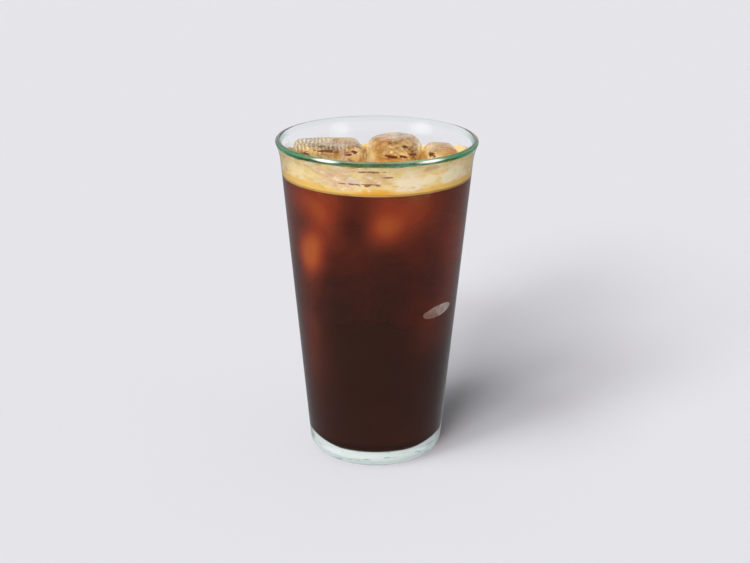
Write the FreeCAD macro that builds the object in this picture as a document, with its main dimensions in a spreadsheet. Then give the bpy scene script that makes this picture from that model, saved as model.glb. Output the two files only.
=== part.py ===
import FreeCAD, Part
import math
import os

import Sketcher

# An iced americano in its straight-sided flared tumbler. The origin is the centre of the
# foot, +Z is up and the drinker faces the tumbler along +Y.

# Lengths in mm, angles in degrees.
sizes = {
    # tumbler, outside
    "glass_height": 151.3,
    "rim_radius": 46.0,
    "lip_bead_radius": 1.2,
    "lip_overhang": 2.25,
    "flare_drop": 10.0,
    "wall_lean": 5.3,
    "heel_radius": 7.5,
    # tumbler, inside
    "wall": 2.3,
    "floor_thickness": 6.6,
    "bore_corner_radius": 8.0,
    # underside
    "foot_land": 3.6,
    "punt_depth": 0.8,
    # drink
    "drink_level": 135.1,
    "crema_thickness": 1.2,
    # ice, all blocks
    "ice_wall_gap": 0.3,
    "ice_gap": 2.4,
    "ice_edge_radius": 4.5,
    # where the two rows of ice stand
    "back_row_x": 8.0,
    "front_row_x": 0.5,
    # each block: width along x, depth along y, height, how far its top stands above the
    # drink, its place across the row, its turn, the lean of the axis it is turned about,
    # and the ball its corners have melted back to, as a share of its half diagonal
    "left_width": 32.0,
    "left_depth": 24.0,
    "left_height": 24.0,
    "left_rise": 12.1,
    "left_y": 8.0,
    "left_turn": 7.0,
    "left_tip": 0.5,
    "left_melt": 0.86,
    "middle_width": 24.0,
    "middle_depth": 25.0,
    "middle_height": 27.0,
    "middle_rise": 13.1,
    "middle_y": 15.5,
    "middle_turn": -9.0,
    "middle_tip": 0.6,
    "middle_melt": 0.75,
    "right_width": 15.0,
    "right_depth": 22.0,
    "right_height": 22.0,
    "right_rise": 9.5,
    "right_y": 12.0,
    "right_turn": 8.0,
    "right_tip": 0.4,
    "right_melt": 0.8,
    "near_left_width": 26.0,
    "near_left_depth": 22.0,
    "near_left_height": 22.0,
    "near_left_rise": 5.8,
    "near_left_y": -21.5,
    "near_left_turn": 10.0,
    "near_left_tip": 0.3,
    "near_left_melt": 0.82,
    "near_right_width": 21.5,
    "near_right_depth": 24.0,
    "near_right_height": 25.0,
    "near_right_rise": 9.8,
    "near_right_y": -26.5,
    "near_right_turn": -6.0,
    "near_right_tip": 0.5,
    "near_right_melt": 0.82,
}

os.makedirs("parts", exist_ok=True)
doc = FreeCAD.newDocument("iced_americano")
sheet = doc.addObject("Spreadsheet::Sheet", "Sizes")
for row, (alias, value) in enumerate(sizes.items(), start=1):
    sheet.set(f"A{row}", alias.replace("_", " "))
    sheet.set(f"B{row}", str(value))
    sheet.setAlias(f"B{row}", alias)
doc.recompute()


def size(alias):
    return float(sheet.get(alias))


def cells(formula):
    """A formula on plain names, with each name turned into its cell in the sheet."""
    words = formula.split()
    return " ".join(f"Sizes.{word}" if word in sizes else word for word in words)


# Formulas shared by every piece that follows the tumbler's wall.
slope = "tan( wall_lean * 1 deg )"
bore_at_flare = "( rim_radius - lip_overhang - wall / cos( wall_lean * 1 deg ) )"


def bore_radius(height):
    """The bore's radius at a height above the table, as a formula."""
    return f"( {bore_at_flare} - ( glass_height - flare_drop - {height} ) * {slope} )"


# ---- tumbler ----

lean = math.radians(size("wall_lean"))
outward = FreeCAD.Vector(math.cos(lean), -math.sin(lean), 0)
upward = FreeCAD.Vector(math.sin(lean), math.cos(lean), 0)
out_of_sketch = FreeCAD.Vector(0, 0, 1)


def flat(across, up):
    return FreeCAD.Vector(across, up, 0)


def arc_between(centre, start, end, clockwise):
    """A circular arc from start to end, kept counterclockwise as sketches hold arcs."""
    if clockwise:
        start, end = end, start
    radius = (start - centre).Length
    first = math.atan2(start.y - centre.y, start.x - centre.x)
    last = math.atan2(end.y - centre.y, end.x - centre.x)
    if last < first:
        last += 2 * math.pi
    circle = Part.Circle(centre, out_of_sketch, radius)
    return Part.ArcOfCircle(circle, first, last)


def profile_points():
    """Corners and arc centres of the tumbler's half section, as across and up."""
    p = {}
    height = size("glass_height")
    bead = size("lip_bead_radius")
    wall = size("wall")
    flare_height = height - size("flare_drop")
    p["bead"] = flat(size("rim_radius") - bead, height - bead)
    p["neck"] = flat(size("rim_radius") - size("lip_overhang"), flare_height)
    p["throat"] = flat(p["neck"].x - wall / math.cos(lean), flare_height)
    # The outer flare touches the bead from outside it, the inner flare holds the bead.
    reach = p["neck"] - p["bead"]
    outer_flare = (reach.dot(reach) - bead**2) / (2 * (bead - reach.dot(outward)))
    p["outer_flare"] = p["neck"] + outward * outer_flare
    to_bead = (p["bead"] - p["outer_flare"]).normalize()
    p["lip_out"] = p["bead"] - to_bead * bead
    reach = p["throat"] - p["bead"]
    inner_flare = (reach.dot(reach) - bead**2) / (-2 * (bead + reach.dot(outward)))
    p["inner_flare"] = p["throat"] + outward * inner_flare
    to_bead = (p["bead"] - p["inner_flare"]).normalize()
    p["lip_in"] = p["bead"] + to_bead * bead
    # The heel and the bore's corner roll off flat ground onto the leaning wall.
    turned = math.pi / 2 - lean
    heel = size("heel_radius")
    foot = p["neck"] - upward * (flare_height / math.cos(lean))
    p["land_out"] = flat(foot.x - heel * math.tan(turned / 2), 0)
    p["heel"] = p["land_out"] + flat(0, heel)
    p["heel_top"] = p["heel"] + outward * heel
    corner = size("bore_corner_radius")
    floor = size("floor_thickness")
    sole = p["throat"] - upward * ((flare_height - floor) / math.cos(lean))
    p["floor_out"] = flat(sole.x - corner * math.tan(turned / 2), floor)
    p["corner"] = p["floor_out"] + flat(0, corner)
    p["corner_top"] = p["corner"] + outward * corner
    # The punt is a shallow dome inside the ring of the foot.
    p["land_in"] = p["land_out"] - flat(size("foot_land"), 0)
    punt = size("punt_depth")
    dome = (p["land_in"].x ** 2 + punt**2) / (2 * punt)
    p["dome"] = flat(0, punt - dome)
    p["punt_top"] = flat(0, punt)
    p["floor_mid"] = flat(0, floor)
    return p


def plane_of(body, role):
    return next(f for f in body.Origin.OriginFeatures if f.Role == role)


def make_glass():
    body = doc.addObject("PartDesign::Body", "GlassBody")
    body.Label = "glass"
    sketch = body.newObject("Sketcher::SketchObject", "GlassSection")
    sketch.AttachmentSupport = (plane_of(body, "XZ_Plane"), [""])
    sketch.MapMode = "FlatFace"
    p = profile_points()
    # Each edge by its ends, in order round the section; an arc also has its centre and
    # the way it turns.
    edges = [
        ("punt", "punt_top", "land_in", "dome", True),
        ("land", "land_in", "land_out", None, None),
        ("heel_arc", "land_out", "heel_top", "heel", False),
        ("outside", "heel_top", "neck", None, None),
        ("outer_flare_arc", "neck", "lip_out", "outer_flare", True),
        ("lip", "lip_out", "lip_in", "bead", False),
        ("inner_flare_arc", "lip_in", "throat", "inner_flare", False),
        ("inside", "throat", "corner_top", None, None),
        ("corner_arc", "corner_top", "floor_out", "corner", True),
        ("floor", "floor_out", "floor_mid", None, None),
        ("axis_line", "floor_mid", "punt_top", None, None),
    ]
    index, first_end, last_end = {}, {}, {}
    for name, start, end, centre, clockwise in edges:
        if centre is None:
            shape = Part.LineSegment(p[start], p[end])
        else:
            shape = arc_between(p[centre], p[start], p[end], clockwise)
        index[name] = sketch.addGeometry(shape, False)
        first_end[name] = 2 if clockwise else 1
        last_end[name] = 1 if clockwise else 2
    names = [edge[0] for edge in edges]
    sharp = {("punt", "land"), ("floor", "axis_line"), ("axis_line", "punt")}
    for one, other in zip(names, names[1:] + names[:1]):
        kind = "Coincident" if (one, other) in sharp else "Tangent"
        sketch.addConstraint(
            Sketcher.Constraint(
                kind, index[one], last_end[one], index[other], first_end[other]
            )
        )

    origin = (-1, 1)
    horizontal_axis, vertical_axis = -1, -2
    for name in ("land", "floor"):
        sketch.addConstraint(Sketcher.Constraint("Horizontal", index[name]))
    sketch.addConstraint(
        Sketcher.Constraint("PointOnObject", index["land"], 1, horizontal_axis)
    )
    for place in ((index["axis_line"], 1), (index["axis_line"], 2), (index["punt"], 3)):
        sketch.addConstraint(Sketcher.Constraint("PointOnObject", *place, vertical_axis))
    bead = "( rim_radius - lip_bead_radius )"
    neck_height = "( glass_height - flare_drop )"
    wanted = [
        ("Radius", (index["lip"],), "lip_bead_radius"),
        ("DistanceX", (*origin, index["lip"], 3), bead),
        ("DistanceY", (*origin, index["lip"], 3), "( glass_height - lip_bead_radius )"),
        ("DistanceX", (*origin, index["outside"], 2), "( rim_radius - lip_overhang )"),
        ("DistanceY", (*origin, index["outside"], 2), neck_height),
        ("Angle", (index["outside"],), "( 90 - wall_lean ) * 1 deg"),
        ("Radius", (index["heel_arc"],), "heel_radius"),
        ("DistanceX", (*origin, index["inside"], 1), bore_at_flare),
        ("DistanceY", (*origin, index["inside"], 1), neck_height),
        ("Angle", (index["inside"],), "( -90 - wall_lean ) * 1 deg"),
        ("Radius", (index["corner_arc"],), "bore_corner_radius"),
        ("DistanceY", (*origin, index["floor"], 2), "floor_thickness"),
        ("DistanceX", (index["land"], 1, index["land"], 2), "foot_land"),
        ("DistanceY", (*origin, index["axis_line"], 2), "punt_depth"),
    ]
    for kind, targets, formula in wanted:
        value = sketch.evalExpression(cells(formula))
        if kind == "Angle":
            value = value.getValueAs("rad").Value
        number = sketch.addConstraint(Sketcher.Constraint(kind, *targets, float(value)))
        sketch.setExpression(f"Constraints[{number}]", cells(formula))
    spun = body.newObject("PartDesign::Revolution", "GlassTurned")
    spun.Profile = sketch
    spun.ReferenceAxis = (sketch, ["V_Axis"])
    spun.Angle = 360.0
    return body


glass = make_glass()


# ---- what fills it ----


def make_bore(name, clearance, bottom, top):
    """The bore's own space between two heights, a clearance in from the wall."""
    cone = doc.addObject("Part::Cone", name + "_cone")
    cone.setExpression("Radius1", cells(f"{bore_radius(bottom)} - {clearance}"))
    cone.setExpression("Radius2", cells(f"{bore_radius(top)} - {clearance}"))
    cone.setExpression("Height", cells(f"{top} - {bottom}"))
    cone.setExpression("Placement.Base.z", cells(bottom))
    return cone


def edges_where(shape, test):
    return [n for n, edge in enumerate(shape.Edges, start=1) if test(edge)]


def make_drink():
    """Coffee up to its level, with the corner of the bore rounded as the glass has it."""
    cone = make_bore("drink", "0", "floor_thickness", "drink_level")
    doc.recompute()
    floor = size("floor_thickness")
    rounded = doc.addObject("Part::Fillet", "drink_filled")
    rounded.Base = cone
    corner = size("bore_corner_radius")
    bottom = edges_where(cone.Shape, lambda e: abs(e.BoundBox.ZMax - floor) < 1e-6)
    rounded.Edges = [(n, corner, corner) for n in bottom]
    return rounded


def make_ice_block(name):
    """One cube with its edges rounded and its corners melted back to a ball."""
    box = doc.addObject("Part::Box", name + "_box")
    sides = {"Length": "width", "Width": "depth", "Height": "height"}
    for side, word in sides.items():
        box.setExpression(side, cells(f"{name}_{word}"))
    for axis, word in zip("xyz", sides.values()):
        box.setExpression(f"Placement.Base.{axis}", cells(f"0 - {name}_{word} / 2"))
    doc.recompute()
    edge = size("ice_edge_radius")
    rounded = doc.addObject("Part::Fillet", name + "_rounded")
    rounded.Base = box
    rounded.Edges = [(n, edge, edge) for n in range(1, len(box.Shape.Edges) + 1)]
    ball = doc.addObject("Part::Sphere", name + "_ball")
    squares = " + ".join(f"{name}_{word} ^ 2" for word in sides.values())
    ball.setExpression("Radius", cells(f"{name}_melt * sqrt( {squares} ) / 2"))
    melted = doc.addObject("Part::Common", name + "_melted")
    melted.Base = rounded
    melted.Tool = ball
    return melted


def stand_ice(name, across):
    """Turns a block and floats it at its place, then melts it flat where it meets the wall."""
    block = make_ice_block(name)
    axis = FreeCAD.Vector(size(name + "_tip"), size(name + "_tip") / 2, 2)
    block.Placement = FreeCAD.Placement(
        FreeCAD.Vector(), FreeCAD.Rotation(axis, size(name + "_turn"))
    )
    middle = f"drink_level + {name}_rise - {name}_height / 2"
    block.setExpression("Placement.Base.x", cells(across))
    block.setExpression("Placement.Base.y", cells(f"{name}_y"))
    block.setExpression("Placement.Base.z", cells(middle))
    block.setExpression("Placement.Rotation.Angle", cells(f"{name}_turn * 1 deg"))
    fitted = doc.addObject("Part::Common", "ice_" + name)
    fitted.Base = block
    fitted.Tool = ice_room
    fitted.Label = "ice_" + name
    return fitted


def beside(name, neighbour, across, side):
    """The place across the row of a block that stands one gap away from its neighbour."""
    half = f"{side} * ( {name}_width / 2 + ice_gap + {neighbour}_width / 2 )"
    return f"( {across} + {half} )"


def cut_round_ice(name, filled):
    cut = doc.addObject("Part::Cut", name)
    cut.Base = filled
    cut.Tool = all_ice
    cut.Label = name
    return cut


ice_room = make_bore("ice_room", "ice_wall_gap", "floor_thickness", "glass_height")
near_left_x = "( front_row_x - ice_gap / 2 - near_left_width / 2 )"
ice_places = {
    "left": beside("left", "middle", "back_row_x", -1),
    "middle": "back_row_x",
    "right": beside("right", "middle", "back_row_x", 1),
    "near_left": near_left_x,
    "near_right": beside("near_right", "near_left", near_left_x, 1),
}
ice = [stand_ice(name, across) for name, across in ice_places.items()]
all_ice = doc.addObject("Part::MultiFuse", "all_ice")
all_ice.Shapes = ice
crema_top = "drink_level + crema_thickness"
coffee = cut_round_ice("coffee", make_drink())
crema = cut_round_ice("crema", make_bore("foam", "0", "drink_level", crema_top))

# ---- checks and export ----

doc.recompute()
failed = [
    thing.Name
    for thing in doc.Objects
    if "Invalid" in thing.State or "Error" in thing.State
]
assert not failed, f"failed objects: {failed}"
for node in [glass, coffee, crema, *ice]:
    shape = node.Shape
    assert not shape.isNull() and shape.isValid(), f"{node.Label} has no sound shape"
    assert len(shape.Solids) == 1, f"{node.Label} is {len(shape.Solids)} solids"
    shape.exportStep(f"parts/{node.Label}.step")
    print(f"{node.Label}: {shape.Volume / 1000:.2f} cm3")
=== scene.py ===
import bpy
import math
from mathutils import Matrix, Vector, noise


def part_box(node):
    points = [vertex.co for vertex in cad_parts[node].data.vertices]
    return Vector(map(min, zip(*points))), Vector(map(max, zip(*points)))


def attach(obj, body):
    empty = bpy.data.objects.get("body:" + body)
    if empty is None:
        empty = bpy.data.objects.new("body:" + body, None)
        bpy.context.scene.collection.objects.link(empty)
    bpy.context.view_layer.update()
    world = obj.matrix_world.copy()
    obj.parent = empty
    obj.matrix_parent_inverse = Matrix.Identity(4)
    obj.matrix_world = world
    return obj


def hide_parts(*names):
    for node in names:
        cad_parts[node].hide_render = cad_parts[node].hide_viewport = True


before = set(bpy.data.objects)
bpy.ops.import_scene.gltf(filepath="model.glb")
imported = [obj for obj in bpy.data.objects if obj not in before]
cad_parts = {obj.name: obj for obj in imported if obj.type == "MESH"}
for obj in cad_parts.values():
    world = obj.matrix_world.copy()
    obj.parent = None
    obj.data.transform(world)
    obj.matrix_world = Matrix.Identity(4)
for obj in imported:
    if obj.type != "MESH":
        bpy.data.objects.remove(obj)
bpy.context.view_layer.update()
mm = 0.001
glassLow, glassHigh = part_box("glass")
rimHeight = glassHigh.z
rimRadius = (glassHigh.x - glassLow.x) / 2
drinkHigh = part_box("coffee")[1]
cremaLow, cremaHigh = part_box("crema")
iceNodes = sorted(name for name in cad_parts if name.startswith("ice_"))


# Shader wiring: a Wire is a socket that can be added, multiplied and so on.
class Wire:
    def __init__(self, sheet, socket):
        self.sheet = sheet
        self.socket = socket

    def maths(self, operation, first, second):
        return self.sheet.add("ShaderNodeMath", {"operation": operation}, {0: first, 1: second})

    def __add__(self, other):
        return self.maths("ADD", self, other)

    def __radd__(self, other):
        return self.maths("ADD", other, self)

    def __sub__(self, other):
        return self.maths("SUBTRACT", self, other)

    def __rsub__(self, other):
        return self.maths("SUBTRACT", other, self)

    def __mul__(self, other):
        return self.maths("MULTIPLY", self, other)

    def __rmul__(self, other):
        return self.maths("MULTIPLY", other, self)


class Sheet:
    def __init__(self, owner):
        owner.use_nodes = True
        self.tree = owner.node_tree
        self.tree.nodes.clear()
        self.owner = owner

    def add(self, kind, settings=None, sockets=None, out=0):
        node = self.tree.nodes.new(kind)
        for key, value in (settings or {}).items():
            if key == "stops":
                ramp = node.color_ramp
                while len(ramp.elements) < len(value):
                    ramp.elements.new(1.0)
                for element, (place, colour) in zip(ramp.elements, value):
                    element.position = place
                    element.color = (*colour, 1.0)
            else:
                setattr(node, key, value)
        for key, value in (sockets or {}).items():
            if isinstance(value, Wire):
                self.tree.links.new(value.socket, node.inputs[key])
            else:
                target = node.inputs[key]
                isColour = target.type == "RGBA" and len(value) == 3
                target.default_value = (*value, 1.0) if isColour else value
        return Wire(self, node.outputs[out])

    def mix(self, share, first, second):
        return self.add(
            "ShaderNodeMix", {"data_type": "RGBA"}, {0: share, 6: first, 7: second}, out=2
        )

    def output(self, wire, name):
        return Wire(self, wire.socket.node.outputs[name])

    def finish(self, surface, volume=None):
        isWorld = isinstance(self.owner, bpy.types.World)
        kind = "ShaderNodeOutputWorld" if isWorld else "ShaderNodeOutputMaterial"
        output = self.tree.nodes.new(kind)
        self.tree.links.new(surface.socket, output.inputs["Surface"])
        if volume is not None:
            self.tree.links.new(volume.socket, output.inputs["Volume"])
        return self.owner


def newSheet(name):
    return Sheet(bpy.data.materials.new(name))


def softStep(sheet, value, start, end):
    # 0 at the start and 1 at the end, eased; the start may be the larger of the two
    if start < end:
        return sheet.add(
            "ShaderNodeMapRange",
            {"interpolation_type": "SMOOTHSTEP"},
            {0: value, 1: start, 2: end},
        )
    return 1.0 - softStep(sheet, value, end, start)


def objectPlace(sheet):
    return sheet.add("ShaderNodeTexCoord", out=3)


def coordinate(sheet, place, axis):
    return sheet.add("ShaderNodeSeparateXYZ", sockets={0: place}, out="XYZ".index(axis))


def fromAxis(sheet, place):
    # how far a place is from the glass's upright axis
    flat = sheet.add("ShaderNodeVectorMath", {"operation": "MULTIPLY"}, {0: place, 1: (1, 1, 0)})
    return sheet.add("ShaderNodeVectorMath", {"operation": "LENGTH"}, {0: flat}, out=1)


def grain(sheet, place, scale, detail):
    return sheet.add(
        "ShaderNodeTexNoise", sockets={"Vector": place, "Scale": scale, "Detail": detail}
    )


def stretched(sheet, place, upright):
    # patterns laid on this place lie flat: squeezed upright by the number given
    return sheet.add("ShaderNodeMapping", sockets={"Vector": place, "Scale": (1.0, 1.0, upright)})


def blend(sheet, share, first, second):
    return sheet.add("ShaderNodeMixShader", sockets={0: share, 1: first, 2: second})


def magnitude(sheet, value):
    return sheet.add("ShaderNodeMath", {"operation": "ABSOLUTE"}, {0: value})


def larger(sheet, first, second):
    return sheet.add("ShaderNodeMath", {"operation": "MAXIMUM"}, {0: first, 1: second})


def passLamps(sheet, surface):
    # lamps shine straight through a clear piece instead of being stopped by it
    shadowRay = sheet.add("ShaderNodeLightPath", out=1)
    clear = sheet.add("ShaderNodeBsdfTransparent")
    return blend(sheet, shadowRay, surface, clear)


def clearSelection():
    bpy.ops.object.select_all(action="DESELECT")


def pick(piece):
    clearSelection()
    piece.select_set(True)
    bpy.context.view_layer.objects.active = piece


def arcPoints(centre, radius, first, last, count):
    # points along an arc, angles in degrees from the outward direction
    points = []
    for step in range(count + 1):
        angle = math.radians(first + (last - first) * step / count)
        points.append((centre[0] + radius * math.cos(angle), centre[1] + radius * math.sin(angle)))
    return points


def spinProfile(name, points, turns):
    # one vertex is walked along the half section, which is then spun round the axis
    clearSelection()
    bpy.ops.mesh.primitive_plane_add(size=mm, location=(points[0][0], 0, points[0][1]))
    piece = bpy.context.object
    piece.name = name
    bpy.ops.object.transform_apply(location=True, rotation=True, scale=True)
    bpy.ops.object.mode_set(mode="EDIT")
    bpy.ops.mesh.select_all(action="SELECT")
    bpy.ops.mesh.merge(type="CENTER")
    for before, after in zip(points, points[1:]):
        step = (after[0] - before[0], 0, after[1] - before[1])
        bpy.ops.mesh.extrude_vertices_move(TRANSFORM_OT_translate={"value": step})
    bpy.ops.mesh.select_all(action="SELECT")
    bpy.ops.mesh.spin(steps=turns, angle=2 * math.pi, center=(0, 0, 0), axis=(0, 0, 1))
    bpy.ops.mesh.select_all(action="SELECT")
    bpy.ops.mesh.remove_doubles(threshold=0.001 * mm)
    bpy.ops.mesh.normals_make_consistent(inside=False)
    bpy.ops.object.mode_set(mode="OBJECT")
    return piece


def applyModifiers(piece):
    pick(piece)
    for modifier in list(piece.modifiers):
        bpy.ops.object.modifier_apply(modifier=modifier.name)


def smooth(piece, angle=60):
    pick(piece)
    bpy.ops.object.shade_smooth_by_angle(angle=math.radians(angle))


def paint(piece, material):
    piece.data.materials.clear()
    piece.data.materials.append(material)


glassLook = {
    "beadRadius": 1.2 * mm,
    "overhang": 2.25 * mm,
    "flareDrop": 10.0 * mm,
    "lean": 5.3,
    "heel": 7.5 * mm,
    "wall": 2.3 * mm,
    "floor": 6.6 * mm,
    "corner": 8.0 * mm,
    "land": 3.6 * mm,
    "punt": 0.8 * mm,
    "turns": 224,
    "tint": (0.1, 0.8, 0.6),
    "tintDensity": 5.0,
    "shine": (0.6, 0.6, 0.6),
    "clear": (1.0, 1.0, 1.0),
    # the lip's green is painted on its front only, partly the glass's tint and partly painted
    # shade: greener at its two ends and nearly black green along its crest
    "lipTeal": (0.17, 0.50, 0.42),
    "lipEndShade": (0.01, 0.25, 0.14),
    "lipCrestShade": (0.01, 0.09, 0.05),
    "lipPale": (0.93, 0.96, 0.95),
    "highlightWhite": (0.97, 1.0, 0.98),
    # painted highlights, two on the lip and two soft on the back wall: centre, reach in mm,
    # strength
    "paintedHighlights": [
        ((-22, -40, 150.5), (9, 7, 0.8), 0.8),
        ((23.5, -39, 150.4), (10, 7, 0.8), 0.8),
        ((-17.6, 37, 145.5), (8, 9, 6.0), 0.16),
        ((20.5, 36, 147.0), (9, 9, 4.5), 0.12),
    ],
    # painted light in the thick foot: its pale colour, its darker dashes and their shares
    "milk": (0.84, 0.93, 0.90),
    "milkDash": (0.26, 0.42, 0.41),
    "footLightShare": 0.50,
    "dashShare": 0.25,
    "dashScale": 140.0,
    # how high the painted light in the foot stands in front, and how much higher at the two sides
    "footLightTop": 9.6 * mm,
    "footLightClimb": 2.8 * mm,
}


def wallLine(radiusAtNeck, height):
    # the straight wall's radius at a height, inside or outside
    below = rimHeight - glassLook["flareDrop"] - height
    return radiusAtNeck - below * math.tan(math.radians(glassLook["lean"]))


neckRadius = rimRadius - glassLook["overhang"]
throatRadius = neckRadius - glassLook["wall"] / math.cos(math.radians(glassLook["lean"]))


def cornerArc(radiusAtNeck, ground, radius, count):
    # the round that takes flat ground up onto the leaning wall
    lean = glassLook["lean"]
    run = radius * math.tan(math.radians(90 - lean) / 2)
    start = wallLine(radiusAtNeck, ground) - run
    return arcPoints((start, ground + radius), radius, -90, -lean, count)


def flareArc(neck, bead, beadRadius, inside, count):
    # the arc that leaves the straight wall at the neck and meets the lip's bead
    lean = math.radians(glassLook["lean"])
    outward = Vector((math.cos(lean), -math.sin(lean)))
    reach = Vector(neck) - Vector(bead)
    side = -1 if inside else 1
    radius = (reach.length_squared - beadRadius**2) / (2 * (side * beadRadius - reach.dot(outward)))
    centre = Vector(neck) + outward * radius
    start = math.degrees(math.atan2(neck[1] - centre.y, neck[0] - centre.x))
    end = math.degrees(math.atan2(bead[1] - centre.y, bead[0] - centre.x))
    return arcPoints(centre, radius, start % 360, end % 360, count)


neckHeight = rimHeight - glassLook["flareDrop"]
lipCentre = (rimRadius - glassLook["beadRadius"], rimHeight - glassLook["beadRadius"])
innerFlare = flareArc((throatRadius, neckHeight), lipCentre, glassLook["beadRadius"], True, 10)


def boreRadius(height):
    # the wall's inside: straight up to the neck, then along the flare
    for before, after in zip(innerFlare, innerFlare[1:]):
        if before[1] <= height <= after[1]:
            share = (height - before[1]) / (after[1] - before[1])
            return before[0] + (after[0] - before[0]) * share
    return wallLine(throatRadius, height) if height < neckHeight else innerFlare[-1][0]


def spot(sheet, place, centre, reach, core=0.0):
    # 1 inside a soft egg-shaped place and 0 outside it, sizes in mm
    middle = [mm * value for value in centre]
    size = [mm * value for value in reach]
    away = sheet.add("ShaderNodeVectorMath", {"operation": "SUBTRACT"}, {0: place, 1: middle})
    scaled = sheet.add("ShaderNodeVectorMath", {"operation": "DIVIDE"}, {0: away, 1: size})
    distance = sheet.add("ShaderNodeVectorMath", {"operation": "LENGTH"}, {0: scaled}, out=1)
    return softStep(sheet, distance, 1.0, core)


def makeGlass():
    look = glassLook
    bead = lipCentre
    heel = cornerArc(neckRadius, 0, look["heel"], 10)
    corner = cornerArc(throatRadius, look["floor"], look["corner"], 10)
    outerFlare = flareArc((neckRadius, neckHeight), bead, look["beadRadius"], False, 10)
    startAngle = math.degrees(math.atan2(outerFlare[-1][1] - bead[1], outerFlare[-1][0] - bead[0]))
    endAngle = math.degrees(math.atan2(innerFlare[-1][1] - bead[1], innerFlare[-1][0] - bead[0]))
    lip = arcPoints(bead, look["beadRadius"], startAngle, endAngle % 360, 22)
    landIn = heel[0][0] - look["land"]
    dome = (landIn**2 + look["punt"] ** 2) / (2 * look["punt"])
    puntEdge = math.degrees(math.acos(landIn / dome))
    punt = arcPoints((0, look["punt"] - dome), dome, 90, puntEdge, 8)
    profile = punt + heel + outerFlare + lip[1:-1] + innerFlare[::-1] + corner[::-1]
    profile.append((0, look["floor"]))
    glass = spinProfile("tumbler", profile, look["turns"])
    smooth(glass, 50)
    sheet = newSheet("clear glass")
    place = objectPlace(sheet)
    height = coordinate(sheet, place, "Z")
    depth = coordinate(sheet, place, "Y")
    across = magnitude(sheet, coordinate(sheet, place, "X"))
    low, crest = bead[1] - look["beadRadius"], rimHeight
    # painted shade: the lip's green sits on its front only, deeper at the two ends and along the
    # crest
    onLip = softStep(sheet, height, low - 0.4 * mm, low + 0.1 * mm)
    nearPart = softStep(sheet, depth, 20 * mm, -6 * mm)
    atEnd = softStep(sheet, across, 18 * mm, 36 * mm)
    crestShade = softStep(sheet, height, crest - 0.5 * mm, crest - 0.12 * mm) * (0.35 + atEnd * 0.65)
    lipTintAndShade = sheet.mix(atEnd, look["lipTeal"], look["lipEndShade"])
    lipTintAndShade = sheet.mix(crestShade, lipTintAndShade, look["lipCrestShade"])
    lipTintAndShade = sheet.mix(nearPart, look["lipPale"], lipTintAndShade)
    colour = sheet.mix(onLip, look["clear"], lipTintAndShade)
    clear = sheet.add(
        "ShaderNodeBsdfPrincipled",
        sockets={
            "Base Color": colour,
            "Roughness": 0.0,
            "IOR": 1.5,
            "Transmission Weight": 1.0,
            "Specular Tint": look["shine"],
        },
    )
    # painted highlights: white diffuse spots mixed into the glass on the lip and the back wall
    paintedGlint = 0.0
    for centre, reach, strength in look["paintedHighlights"]:
        paintedGlint = spot(sheet, place, centre, reach, 0.25) * strength + paintedGlint
    highlightPaint = sheet.add(
        "ShaderNodeBsdfPrincipled", sockets={"Base Color": look["highlightWhite"], "Roughness": 0.3}
    )
    # painted light: the thick foot is painted pale and milky as if lit through, with darker dashes
    # lying along it
    along = stretched(sheet, place, 5.0)
    dashes = grain(sheet, along, look["dashScale"], 2.0)
    dashed = softStep(sheet, dashes, 0.57, 0.70)
    footLightColour = sheet.mix(dashed, look["milk"], look["milkDash"])
    milk = sheet.add(
        "ShaderNodeBsdfPrincipled",
        sockets={"Base Color": footLightColour, "Roughness": 0.4, "Specular IOR Level": 0.0},
    )
    outward = fromAxis(sheet, place)
    slope = math.tan(math.radians(look["lean"]))
    inset = outward - (height * slope + wallLine(neckRadius, 0))
    onOutside = softStep(sheet, inset, -1.4 * mm, -0.9 * mm)
    belowBore = softStep(sheet, height, look["floor"] - 0.05 * mm, look["floor"] - 0.3 * mm)
    top = softStep(sheet, across, 14 * mm, 34 * mm) * look["footLightClimb"] + look["footLightTop"]
    footLightMask = softStep(sheet, height - top, 0.3 * mm, -0.5 * mm)
    footLightMask = footLightMask * larger(sheet, onOutside, belowBore)
    footLightMask = footLightMask * softStep(sheet, height, 0.1 * mm, 0.8 * mm)
    footLightMask = footLightMask * (softStep(sheet, across, 31 * mm, 27.5 * mm) * 0.45 + 0.55)
    # what is scattered from the floor goes through, so the painted foot light lays no glow round
    # the foot
    scattered = sheet.add("ShaderNodeLightPath", out=2)
    footLightMask = footLightMask * (look["footLightShare"] + dashed * look["dashShare"]) * (1.0 - scattered)
    body = blend(sheet, footLightMask, clear, milk)
    body = blend(sheet, paintedGlint, body, highlightPaint)
    tint = sheet.add(
        "ShaderNodeVolumeAbsorption",
        sockets={"Color": look["tint"], "Density": look["tintDensity"]},
    )
    paint(glass, sheet.finish(passLamps(sheet, body), tint))
    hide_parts("glass")
    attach(glass, "root")
    print("tumbler", len(glass.data.polygons), "faces")
    return glass


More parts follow.
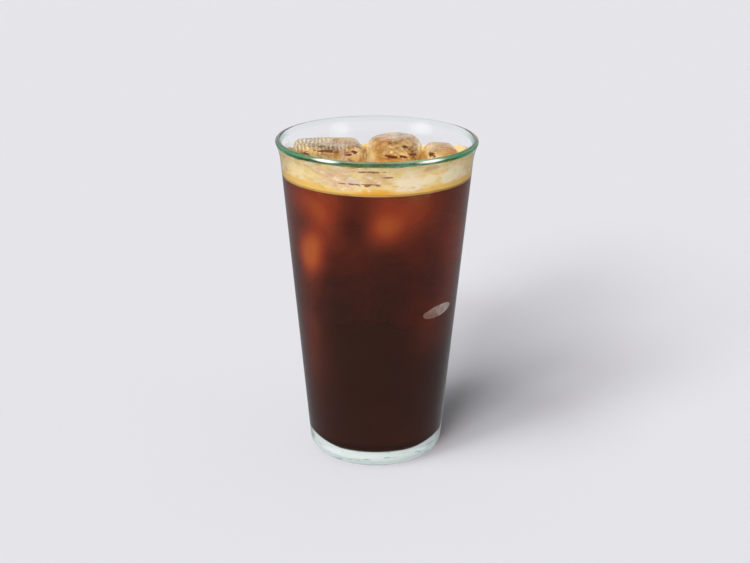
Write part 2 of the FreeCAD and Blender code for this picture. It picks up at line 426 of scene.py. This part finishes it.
iceLook = {
    "voxel": 0.9 * mm,
    "ripple": 0.5 * mm,
    "rippleSize": 9.0 * mm,
    "overlap": 0.15 * mm,
    "fineScale": 420.0,
    "ribScale": 175.0,
    "broadScale": 150.0,
    "bumpHeight": 0.6 * mm,
    "cloudScale": 110.0,
    "leastCloud": 0.0,
    "mostCloud": 0.5,
    "cloudyLow": 0.3,
    "stainScale": 75.0,
    "streakScale": 130.0,
    "dashScale": 230.0,
    "sunkenDull": (0.46, 0.30, 0.20),
    "sunkenPale": (0.80, 0.56, 0.34),
    "streak": (0.24, 0.09, 0.03),
    # colour of the painted dark glints
    "paintedGlint": (0.11, 0.028, 0.012),
    "pale": (1.0, 0.93, 0.74),
    "cream": (0.92, 0.71, 0.35),
    "amber": (0.56, 0.29, 0.07),
    "stained": (0.98, 0.78, 0.44),
    "fresh": (1.0, 0.94, 0.76),
    # painted dark glints, standing in for coffee seen through the blocks: centre and reach in mm
    "paintedGlints": [
        ((14.6, 3, 146.0), (4.5, 9, 2.4)),
        ((17.0, 3, 143.2), (4.5, 9, 1.8)),
        ((-24.0, -3, 146.0), (7, 8, 3.2)),
        ((-32.0, -3, 144.0), (4, 8, 3.0)),
        ((-12.0, -4, 144.6), (6, 8, 2.0)),
        ((-1.0, -14, 144.6), (8, 12, 1.8)),
        ((8.0, 4, 141.5), (10, 9, 1.6)),
        ((24.0, 3, 142.5), (5, 9, 2.0)),
    ],
}


def floatingIceMaterial():
    look = iceLook
    sheet = newSheet("melting ice")
    place = objectPlace(sheet)
    height = coordinate(sheet, place, "Z")
    fine = grain(sheet, place, look["fineScale"], 3.0)
    ribs = sheet.add(
        "ShaderNodeTexWave",
        {"bands_direction": "X"},
        {"Vector": place, "Scale": look["ribScale"], "Distortion": 5.0, "Detail": 2.0},
    )
    where = grain(sheet, place, 60.0, 1.0)
    broad = grain(sheet, place, look["broadScale"], 2.0)
    side = coordinate(sheet, place, "X")
    ribbed = softStep(sheet, where, 0.44, 0.58) * softStep(sheet, side, -1 * mm, -6 * mm)
    relief = fine * 0.5 + broad * 4.0 + ribs * ribbed * 0.9
    bump = sheet.add(
        "ShaderNodeBump",
        sockets={"Height": relief, "Strength": 1.0, "Distance": look["bumpHeight"]},
    )
    cloud = grain(sheet, place, look["cloudScale"], 4.0)
    least, most = look["leastCloud"], look["mostCloud"]
    white = sheet.add("ShaderNodeMapRange", {}, {0: cloud, 1: 0.38, 2: 0.66, 3: least, 4: most})
    white = white + softStep(sheet, height, drinkHigh.z + 9 * mm, drinkHigh.z) * look["cloudyLow"]
    stain = grain(sheet, place, look["stainScale"], 2.0)
    lifted = sheet.add(
        "ShaderNodeMapRange",
        {},
        {0: height, 1: drinkHigh.z - 1 * mm, 2: drinkHigh.z + 13 * mm, 3: 0.16, 4: -0.12},
    )
    snowColour = sheet.add(
        "ShaderNodeValToRGB",
        {"stops": [(0.34, look["pale"]), (0.48, look["cream"]), (0.62, look["amber"])]},
        {0: stain + lifted},
    )
    flat = stretched(sheet, place, 3.2)
    streaks = grain(sheet, flat, look["streakScale"], 3.0)
    streaked = softStep(sheet, streaks, 0.60, 0.68) * softStep(
        sheet, height, drinkHigh.z - 2 * mm, drinkHigh.z + 1 * mm
    )
    dashes = grain(sheet, flat, look["dashScale"], 2.0)
    # painted dark glints of coffee seen through the blocks
    dark = 0.0
    for centre, reach in look["paintedGlints"]:
        dark = spot(sheet, place, centre, reach) + dark
    dark = softStep(sheet, dark * softStep(sheet, dashes, 0.40, 0.58), 0.12, 0.4)
    snowColour = sheet.mix(streaked, snowColour, look["streak"])
    snowColour = sheet.mix(dark, snowColour, look["paintedGlint"])
    # the melted tops are a little cloudier, with pale ticks across them
    onLeft = softStep(sheet, side, -2 * mm, -7 * mm)
    ticks = softStep(sheet, ribs, 0.60, 0.85) * softStep(sheet, height, 144 * mm, 146 * mm)
    white = white + dark * 0.8 + ticks * onLeft * (0.15 + ribbed * 0.4)
    stained = sheet.mix(
        softStep(sheet, height, drinkHigh.z, drinkHigh.z + 9 * mm), look["stained"], look["fresh"]
    )
    clear = sheet.add(
        "ShaderNodeBsdfPrincipled",
        sockets={
            "Base Color": stained,
            "Roughness": 0.03,
            "IOR": 1.31,
            "Transmission Weight": 1.0,
            "Normal": bump,
        },
    )
    snow = sheet.add(
        "ShaderNodeBsdfPrincipled",
        sockets={"Base Color": snowColour, "Roughness": 0.2, "IOR": 1.31, "Normal": bump},
    )
    block = blend(sheet, white, clear, snow)
    return sheet.finish(passLamps(sheet, block))


def sunkenIceMaterial():
    # cloudy blocks whose soft white glows through the coffee
    sheet = newSheet("sunken ice")
    place = objectPlace(sheet)
    cloud = grain(sheet, place, 90.0, 3.0)
    clear = softStep(sheet, cloud, 0.35, 0.65)
    colour = sheet.mix(clear, iceLook["sunkenDull"], iceLook["sunkenPale"])
    snow = sheet.add(
        "ShaderNodeBsdfPrincipled",
        sockets={"Base Color": colour, "Roughness": 0.6, "Specular IOR Level": 0.0},
    )
    return sheet.finish(snow)


def cornerIceMaterial():
    sheet = newSheet("ice corner")
    place = objectPlace(sheet)
    cloud = grain(sheet, place, 300.0, 3.0)
    side = coordinate(sheet, place, "X")
    across = softStep(sheet, side + (cloud - 0.5) * 16 * mm, 21 * mm, 33 * mm)
    colour = sheet.mix(across, contactIce["rosy"], contactIce["pale"])
    snow = sheet.add(
        "ShaderNodeBsdfPrincipled",
        sockets={"Base Color": colour, "Roughness": 0.5, "Specular IOR Level": 0.0},
    )
    return sheet.finish(snow)


def ripple(piece, size, depth, seed):
    # melted hollows and bulges, by moving each vertex along its normal
    shift = Vector((seed * 3.7, seed * 1.9, seed * 5.3))
    for vertex in piece.data.vertices:
        swell = noise.noise(vertex.co / size + shift)
        vertex.co += vertex.normal * swell * depth


def keepInside(piece, past):
    # what would stand further into the wall than this melts back to it
    for vertex in piece.data.vertices:
        room = wallLine(throatRadius, vertex.co.z) + past
        across = math.hypot(vertex.co.x, vertex.co.y)
        if across > room:
            vertex.co.x *= room / across
            vertex.co.y *= room / across


def remeshed(piece, voxel):
    pick(piece)
    remesh = piece.modifiers.new("remesh", "REMESH")
    remesh.mode = "VOXEL"
    remesh.voxel_size = voxel
    relax = piece.modifiers.new("relax", "SMOOTH")
    relax.iterations = 6
    applyModifiers(piece)


def makeFloatingIce(node, seed, material):
    # the block as it floats, softened from its solid
    piece = bpy.data.objects.new("floating_" + node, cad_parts[node].data.copy())
    bpy.context.scene.collection.objects.link(piece)
    pick(piece)
    bpy.ops.object.mode_set(mode="EDIT")
    bpy.ops.mesh.select_all(action="SELECT")
    bpy.ops.mesh.remove_doubles(threshold=0.01 * mm)
    bpy.ops.object.mode_set(mode="OBJECT")
    remeshed(piece, iceLook["voxel"])
    ripple(piece, iceLook["rippleSize"], iceLook["ripple"], seed)
    # below the surface the block has melted away from the wall
    for vertex in piece.data.vertices:
        sunk = drinkHigh.z - 1.0 * mm - vertex.co.z
        across = math.hypot(vertex.co.x, vertex.co.y)
        if sunk > 0 and across > 20 * mm:
            back = min(0.55 * sunk, 5.5 * mm) * (across / mm - 20) / 20
            vertex.co.x *= 1 - back / across
            vertex.co.y *= 1 - back / across
    smooth(piece, 180)
    paint(piece, material)
    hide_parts(node)
    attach(piece, "root")
    return piece


sunkenIce = {
    # centre and edge in mm, turn in degrees about each axis
    "left": ((-14, -5, 104), 26, (8, 12, 38)),
    "centre": ((8, -5, 103), 24, (24, -16, -22)),
    "back": ((8, 14, 106), 27, (5, 10, 40)),
    "backLeft": ((-20, 15, 106), 24, (-8, 5, 10)),
    "right": ((24, 0, 106), 20, (12, 4, 25)),
    "lowLeft": ((-12, -2, 79), 22, (18, 8, -20)),
    "lowRight": ((14, -10, 78), 21, (35, 20, 42)),
    "lowBack": ((0, 16, 78), 24, (12, -15, 30)),
}


contactIce = {
    "rosy": (0.27, 0.13, 0.10),
    "pale": (0.62, 0.50, 0.45),
    # where one block's melted corner lies against the wall
    "centre": (27.0, -22.5, 76.8),
    "halfLength": 9.0,
    "halfHeight": 2.7,
    "halfDepth": 4.0,
    "tilt": 4.0,
}


def makeContactIce(material):
    look = contactIce
    clearSelection()
    bpy.ops.mesh.primitive_uv_sphere_add(segments=64, ring_count=32, radius=1.0)
    piece = bpy.context.object
    piece.name = "sunken_corner"
    around = math.atan2(look["centre"][1], look["centre"][0])
    size = Matrix.Diagonal((look["halfDepth"], look["halfLength"], look["halfHeight"], 1.0))
    lift = Matrix.Rotation(math.radians(look["tilt"]), 4, "X")
    turn = Matrix.Rotation(around, 4, "Z")
    shift = Matrix.Scale(mm, 4) @ Matrix.Translation(look["centre"])
    piece.data.transform(shift @ turn @ lift @ size)
    ripple(piece, 5 * mm, 0.35 * mm, 4)
    keepInside(piece, 0.4 * mm)
    smooth(piece, 180)
    paint(piece, material)
    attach(piece, "root")
    return piece


def makeSunkenIce(name, centre, edge, turn, seed, material):
    clearSelection()
    bpy.ops.mesh.primitive_cube_add(size=edge * mm, location=[mm * value for value in centre])
    piece = bpy.context.object
    piece.name = "sunken_" + name
    piece.rotation_euler = [math.radians(angle) for angle in turn]
    bpy.ops.object.transform_apply(location=True, rotation=True, scale=True)
    bevel = piece.modifiers.new("melt", "BEVEL")
    bevel.width = edge * 0.24 * mm
    bevel.segments = 4
    applyModifiers(piece)
    remeshed(piece, 1.3 * mm)
    ripple(piece, iceLook["rippleSize"], iceLook["ripple"] * 1.5, seed)
    keepInside(piece, -0.4 * mm)
    smooth(piece, 180)
    paint(piece, material)
    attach(piece, "root")
    return piece


coffeeLook = {
    "absorb": (0.864, 0.529, 0.0),
    "density": 700.0,
    "shine": (0.0, 0.0, 0.0),
    "murk": 0.76,
    "shades": [
        (0.0, (0.035, 0.0095, 0.0045)),
        (0.25, (0.066, 0.012, 0.005)),
        (0.5, (0.152, 0.024, 0.009)),
        (0.75, (0.31, 0.042, 0.013)),
        (1.0, (0.52, 0.108, 0.020)),
    ],
    # painted light: the side away from the lamps is painted a little brighter
    "shadeSide": (0.64, 0.77, 0.0),
    "shadeGlow": 0.2,
    # painted glows, soft light of ice behind the wall painted into the colour: centre and reach in
    # mm, strength
    "paintedGlows": [
        ((-28, -28, 129), (16, 16, 9), 0.38),
        ((-23, -32, 117), (8, 8, 10), 0.35),
        ((-28, -25, 105), (8, 9, 11), 0.70),
        ((-29, -23, 92), (8, 8, 9), 0.12),
        ((7, -39, 126), (14, 14, 12), 0.34),
        ((3, -39, 118), (8, 8, 8), 0.30),
        ((21, -34, 129), (10, 12, 9), 0.12),
        ((34, -18, 84), (8, 14, 30), 0.36),
        ((38, -8, 126), (10, 14, 14), 0.04),
        ((22, -26, 68), (12, 12, 14), 0.28),
        ((-28, -18, 66), (12, 14, 44), 0.40),
        ((-9, -39, 124), (7, 7, 12), -0.16),
        ((12, 37, 118), (16, 14, 18), 0.45),
        ((-24, 28, 108), (14, 14, 16), 0.40),
        ((-36, 4, 116), (12, 16, 14), 0.35),
        ((36, 10, 112), (12, 14, 16), 0.40),
        ((26, 24, 90), (12, 14, 14), 0.25),
    ],
    "glowReach": 1.6,
    "intoWall": 0.15 * mm,
}


def swollen(piece, amount, name):
    # a scratch copy of a piece, grown or shrunk along its normals
    copy = piece.copy()
    copy.data = piece.data.copy()
    copy.name = name
    bpy.context.scene.collection.objects.link(copy)
    for vertex in copy.data.vertices:
        vertex.co += vertex.normal * amount
    return copy


def cutAway(piece, cutters):
    for cutter in cutters:
        cut = piece.modifiers.new("cut", "BOOLEAN")
        cut.operation = "DIFFERENCE"
        cut.solver = "MANIFOLD"
        cut.object = cutter
        pick(piece)
        bpy.ops.object.modifier_apply(modifier=cut.name)


def coffeeMaterial():
    look = coffeeLook
    sheet = newSheet("black coffee")
    place = objectPlace(sheet)
    height = coordinate(sheet, place, "Z")
    swirl = grain(sheet, place, 55.0, 2.0)
    sides = {0: place, 1: look["shadeSide"]}
    turned = sheet.add("ShaderNodeVectorMath", {"operation": "DOT_PRODUCT"}, sides, out=1)
    # painted light: brighter and redder towards the top, with random swirl, then the brighter
    # shaded side and the painted glows of ice
    toneAndPaintedLight = softStep(sheet, height, 70 * mm, 132 * mm) * 0.42 + (swirl - 0.5) * 0.25
    toneAndPaintedLight = toneAndPaintedLight + softStep(sheet, turned, -30 * mm, 8 * mm) * look["shadeGlow"]
    for centre, reach, strength in look["paintedGlows"]:
        wide = [look["glowReach"] * value for value in reach]
        toneAndPaintedLight = toneAndPaintedLight + spot(sheet, place, centre, wide) * strength
    colour = sheet.add("ShaderNodeValToRGB", {"stops": look["shades"]}, {0: toneAndPaintedLight})
    liquid = sheet.add(
        "ShaderNodeBsdfPrincipled",
        sockets={
            "Base Color": (1, 1, 1),
            "Roughness": 0.0,
            "IOR": 1.33,
            "Transmission Weight": 1.0,
            "Specular Tint": look["shine"],
        },
    )
    murk = sheet.add(
        "ShaderNodeBsdfPrincipled",
        sockets={"Base Color": colour, "Roughness": 0.5, "Specular IOR Level": 0.0},
    )
    # the murk shows on the side wall alone, not under the coffee nor round the ice
    across = fromAxis(sheet, place)
    slope = math.tan(math.radians(glassLook["lean"]))
    inset = across - (height * slope + wallLine(throatRadius, 0))
    atCorner = softStep(sheet, height, glassLook["floor"], glassLook["floor"] + 1.2 * mm)
    # near the base the corner turns in, so more of it counts as wall
    turnedIn = (1.0 - softStep(sheet, height, 8 * mm, 13 * mm)) * 6 * mm
    byWall = softStep(sheet, inset + turnedIn, -1.0 * mm, -0.3 * mm)
    share = atCorner * byWall * look["murk"]
    body = blend(sheet, share, liquid, murk)
    brew = sheet.add(
        "ShaderNodeVolumeAbsorption", sockets={"Color": look["absorb"], "Density": look["density"]}
    )
    return sheet.finish(passLamps(sheet, body), brew)


def makeCoffee(cutters):
    look = coffeeLook
    level = drinkHigh.z
    outer = throatRadius + look["intoWall"]
    corner = cornerArc(outer, glassLook["floor"] - look["intoWall"], glassLook["corner"], 10)
    top = (wallLine(outer, level), level)
    profile = [(0, corner[0][1])] + corner + [top, (0, level)]
    coffee = spinProfile("coffee_body", profile, glassLook["turns"])
    cutAway(coffee, cutters)
    smooth(coffee, 50)
    paint(coffee, coffeeMaterial())
    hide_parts("coffee")
    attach(coffee, "root")
    print("coffee", len(coffee.data.polygons), "faces")
    return coffee


cremaLook = {
    "gold": (0.42, 0.19, 0.035),
    "pale": (0.56, 0.34, 0.10),
    "deep": (0.30, 0.10, 0.02),
    "dark": (0.14, 0.045, 0.015),
    "climb": 0.8 * mm,
}


def makeCrema(cutters):
    outer = throatRadius + coffeeLook["intoWall"]
    low, high = cremaLow.z, cremaHigh.z
    climb = cremaLook["climb"]
    edge = wallLine(outer, high)
    profile = [(0, low), (wallLine(outer, low), low), (wallLine(outer, high + climb), high + climb)]
    for step in range(1, 7):
        share = step / 6
        profile.append((edge - 0.25 * mm - 2.2 * mm * share**1.6, high + climb * (1 - share) ** 2))
    profile.append((0, high))
    crema = spinProfile("crema_film", profile, glassLook["turns"])
    cutAway(crema, cutters)
    smooth(crema, 30)
    sheet = newSheet("golden crema")
    place = objectPlace(sheet)
    cloud = grain(sheet, place, 90.0, 5.0)
    across = fromAxis(sheet, place)
    atWall = softStep(sheet, across, edge - 2.5 * mm, edge - 0.6 * mm) * 0.22
    colour = sheet.add(
        "ShaderNodeValToRGB",
        {
            "stops": [
                (0.36, cremaLook["dark"]),
                (0.43, cremaLook["deep"]),
                (0.52, cremaLook["gold"]),
                (0.70, cremaLook["pale"]),
            ]
        },
        {"Fac": cloud + atWall},
    )
    foam = sheet.add(
        "ShaderNodeBsdfPrincipled", sockets={"Base Color": colour, "Roughness": 0.35, "IOR": 1.33}
    )
    paint(crema, sheet.finish(foam))
    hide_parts("crema")
    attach(crema, "root")
    return crema


filmLook = {
    "front": 13.0 * mm,
    "back": 2.0 * mm,
    "thickness": 0.25 * mm,
    "columns": 200,
    "rows": 30,
    "cover": 1.0,
    "filmGlow": 0.18,
    "cream": (0.88, 0.65, 0.30),
    "tan": (0.62, 0.35, 0.18),
    "milk": (0.92, 0.80, 0.60),
    "gold": (0.86, 0.52, 0.13),
    "orange": (0.78, 0.36, 0.03),
    "orangePlace": ((-1, -41, 137), (12, 14, 4)),
    # places of one colour, the two palest on the right painted light lifting the shade there:
    # colour, centre and reach in mm, strength
    "places": [
        ((0.94, 0.77, 0.54), (14, -38, 141), (10, 12, 9), 0.9),
        ((0.76, 0.49, 0.32), (-17, -37, 143), (14, 14, 8), 0.7),
        ((0.62, 0.50, 0.50), (-9, -40, 141.5), (7, 8, 3), 0.5),
        ((0.68, 0.42, 0.21), (-1, -41, 143), (9, 10, 7), 0.75),
        ((0.80, 0.42, 0.05), (0, -41, 137.2), (11, 12, 2.6), 0.9),
        ((0.60, 0.40, 0.22), (23, -34, 147), (6, 8, 1.8), 0.6),
        ((0.62, 0.42, 0.24), (31, -28, 144.5), (5, 8, 2.0), 0.5),
        # painted light: these two lift the shaded right side of the film
        ((1.0, 0.88, 0.62), (33, -26, 141), (11, 14, 9), 0.75),
        ((1.0, 0.86, 0.60), (22, -34, 142), (7, 12, 4), 0.6),
        ((0.95, 0.60, 0.16), (-36, -20, 141.5), (5, 10, 2.2), 0.7),
        ((0.98, 0.80, 0.46), (-34, -24, 143), (8, 12, 7), 0.5),
    ],
    # dark lines lying across the front: centre and reach in mm
    "streak": (0.20, 0.06, 0.03),
    "streaks": [
        ((-2, -42, 146.6), (11, 12, 0.9)),
        ((-3, -41, 140.2), (9, 12, 1.3)),
        ((-12, -40, 140.6), (8, 12, 0.6)),
        ((6, -42, 144.0), (7, 12, 0.6)),
    ],
}


def filmMaterial(start):
    look = filmLook
    sheet = newSheet("crema film")
    place = objectPlace(sheet)
    height = coordinate(sheet, place, "Z")
    side = coordinate(sheet, place, "X")
    wide = stretched(sheet, place, 2.2)
    mottle = grain(sheet, wide, 80.0, 5.0)
    fine = grain(sheet, wide, 260.0, 3.0)
    colour = sheet.mix(softStep(sheet, mottle, 0.46, 0.66) * 0.45, look["cream"], look["tan"])
    rough = (mottle - 0.5) * 1.3 + (fine - 0.5) * 0.7
    for toneAndPaintedLight, centre, reach, strength in look["places"]:
        share = softStep(sheet, spot(sheet, place, centre, reach) + rough, 0.05, 0.6)
        colour = sheet.mix(share * strength, colour, toneAndPaintedLight)
    colour = sheet.mix(softStep(sheet, fine, 0.52, 0.68) * 0.6, colour, look["milk"])
    specks = softStep(sheet, fine, 0.46, 0.36) * softStep(sheet, mottle, 0.46, 0.56) * 0.5
    colour = sheet.mix(specks, colour, look["tan"])
    dark = 0.0
    for centre, reach in look["streaks"]:
        dark = spot(sheet, place, centre, reach) + dark
    dark = softStep(sheet, dark * softStep(sheet, fine, 0.36, 0.56), 0.15, 0.5)
    colour = sheet.mix(dark * 0.85, colour, look["streak"])
    atEnd = softStep(sheet, magnitude(sheet, side), 14 * mm, 34 * mm)
    wavy = height + (mottle - 0.5) * 3 * mm - atEnd * 1.6 * mm
    line = softStep(sheet, wavy, start + 1.9 * mm, start + 0.5 * mm)
    inMiddle = spot(sheet, place, *look["orangePlace"], 0.3)
    lineColour = sheet.mix(inMiddle, look["gold"], look["orange"])
    colour = sheet.mix(line, colour, lineColour)
    # painted light: the foam on the far side from the lamps glows faintly, as if lit through from
    # within
    farSide = softStep(sheet, side, 6 * mm, 30 * mm) * 0.85 + 0.15
    filmGlow = sheet.mix(farSide, (0.0, 0.0, 0.0), colour)
    foam = sheet.add(
        "ShaderNodeBsdfPrincipled",
        sockets={
            "Base Color": colour,
            "Roughness": 0.4,
            "IOR": 1.33,
            "Emission Color": filmGlow,
            "Emission Strength": look["filmGlow"],
        },
    )
    clear = sheet.add("ShaderNodeBsdfTransparent")
    cover = softStep(sheet, mottle, 0.28, 0.46) * 0.3 + (look["cover"] - 0.3)
    body = blend(sheet, cover, clear, foam)
    return sheet.finish(body)


def makeFilm():
    # the crema that clings to the wall over the drink, high in front and low at the back
    look = filmLook
    start = cremaHigh.z - 0.3 * mm
    points = []
    for step in range(look["rows"] + 1):
        height = start + look["front"] * step / look["rows"]
        points.append((boreRadius(height), height))
    film = spinProfile("crema_on_wall", points, look["columns"])
    shift = Vector((3.1, 7.7, 1.3))
    for vertex in film.data.vertices:
        around = math.atan2(vertex.co.y, vertex.co.x)
        inFront = 0.5 - 0.5 * math.sin(around)
        edge = Vector((math.cos(around) * 3.0, math.sin(around) * 3.0, 0)) + shift
        ragged = 1 + 0.22 * noise.noise(edge) + 0.1 * noise.noise(edge * 3.7)
        reach = (look["back"] + (look["front"] - look["back"]) * min(1, 1.5 * inFront)) * ragged
        share = (vertex.co.z - start) / look["front"]
        vertex.co.z = start + share * min(reach, look["front"])
        room = boreRadius(vertex.co.z) + 0.06 * mm
        vertex.co.x = room * math.cos(around)
        vertex.co.y = room * math.sin(around)
    thicken = film.modifiers.new("thicken", "SOLIDIFY")
    thicken.thickness = look["thickness"]
    thicken.offset = -1
    applyModifiers(film)
    smooth(film, 60)
    paint(film, filmMaterial(start))
    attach(film, "root")
    print("film", len(film.data.polygons), "faces")


studio = {
    "floorColour": (0.780, 0.768, 0.801),
    "paper": (0.781, 0.774, 0.812),
    "ambient": 0.14,
    "mirrored": 0.22,
    "ambientColour": (0.94, 1.0, 1.03),
    # share of the floor's light, direction round from +X, height above the floor, spread
    "suns": {
        "key": (0.198, 63.1, 25.7, 15.1),
        "side": (0.175, 46.9, 29.0, 23.9),
        "upper": (0.187, 38.7, 43.9, 18.5),
        "high": (0.125, 24.0, 60.0, 16.0),
        "back": (0.138, 75.2, 36.8, 9.9),
        "fill": (0.05, 152.0, 7.0, 30.0),
    },
    "throughBounces": 24,
    "allBounces": 28,
    "cameraPlace": (0.0, -659.57, 309.46),
    "cameraTarget": (-0.565, 0.0, 82.36),
    "cameraRoll": 0.273,
    "lens": 71.64,
}


def makeFloor():
    clearSelection()
    bpy.ops.mesh.primitive_plane_add(size=8.0, location=(0, 0, 0))
    floor = bpy.context.object
    floor.name = "floor"
    floor.visible_glossy = False
    sheet = newSheet("pale paper")
    paper = sheet.add(
        "ShaderNodeBsdfPrincipled",
        sockets={
            "Base Color": studio["floorColour"],
            "Roughness": 1.0,
            "Specular IOR Level": 0.0,
        },
    )
    floor.data.materials.append(sheet.finish(paper))


def makeWorld():
    world = bpy.data.worlds.new("studio")
    bpy.context.scene.world = world
    sheet = Sheet(world)
    path = sheet.add("ShaderNodeLightPath")
    glossy = sheet.output(path, "Is Glossy Ray")
    through = sheet.output(path, "Is Transmission Ray")
    direction = sheet.add("ShaderNodeTexCoord")
    height = coordinate(sheet, direction, "Z")
    seen = larger(sheet, path, larger(sheet, glossy, through))
    soft = sheet.add(
        "ShaderNodeBackground",
        sockets={"Color": studio["ambientColour"], "Strength": studio["ambient"]},
    )
    paper = sheet.add("ShaderNodeBackground", sockets={"Color": studio["paper"], "Strength": 1.0})
    above = softStep(sheet, height, -0.12, -0.04)
    share = seen * above + glossy * (1.0 - above) * studio["mirrored"]
    sheet.finish(blend(sheet, share, soft, paper))


def aim(direction, roll=0.0):
    turn = direction.to_track_quat("-Z", "Y").to_matrix().to_4x4()
    return turn @ Matrix.Rotation(math.radians(roll), 4, "Z")


def makeLights():
    for name, (share, around, height, spread) in studio["suns"].items():
        around, height = math.radians(around), math.radians(height)
        sun = bpy.data.objects.new(name, bpy.data.lights.new(name, "SUN"))
        sun.data.energy = share * math.pi / math.sin(height)
        sun.data.angle = math.radians(spread)
        sun.data.use_shadow = name != "fill"
        sun.visible_glossy = False
        sun.visible_transmission = False
        flat = math.cos(height)
        shining = Vector((math.cos(around) * flat, math.sin(around) * flat, -math.sin(height)))
        sun.matrix_world = aim(shining)
        bpy.context.scene.collection.objects.link(sun)


def makeCamera():
    camera = bpy.data.objects.new("camera", bpy.data.cameras.new("camera"))
    camera.data.lens = studio["lens"]
    place = Vector(studio["cameraPlace"]) * mm
    target = Vector(studio["cameraTarget"]) * mm
    turn = aim(target - place, studio["cameraRoll"])
    camera.matrix_world = Matrix.Translation(place) @ turn
    bpy.context.scene.collection.objects.link(camera)
    bpy.context.scene.camera = camera


makeCamera()
makeFloor()
makeWorld()
makeLights()
makeGlass()
meltingIce = floatingIceMaterial()
floating = [makeFloatingIce(node, seed, meltingIce) for seed, node in enumerate(iceNodes, start=1)]
print("floating ice", len(floating))
cloudyIce = sunkenIceMaterial()
sunken = [
    makeSunkenIce(name, *where, seed, cloudyIce)
    for seed, (name, where) in enumerate(sunkenIce.items(), start=11)
]
print("sunken ice", len(sunken))
corner = makeContactIce(cornerIceMaterial())
cutters = [swollen(piece, -iceLook["overlap"], "cutter") for piece in [*floating, corner]]
makeCoffee(cutters)
makeCrema(cutters)
makeFilm()
for cutter in cutters:
    bpy.data.objects.remove(cutter)

scene = bpy.context.scene
scene.view_settings.view_transform = "Standard"
scene.cycles.transmission_bounces = studio["throughBounces"]
scene.cycles.max_bounces = studio["allBounces"]
scene.cycles.transparent_max_bounces = studio["throughBounces"]
scene.cycles.caustics_refractive = False
scene.cycles.caustics_reflective = False
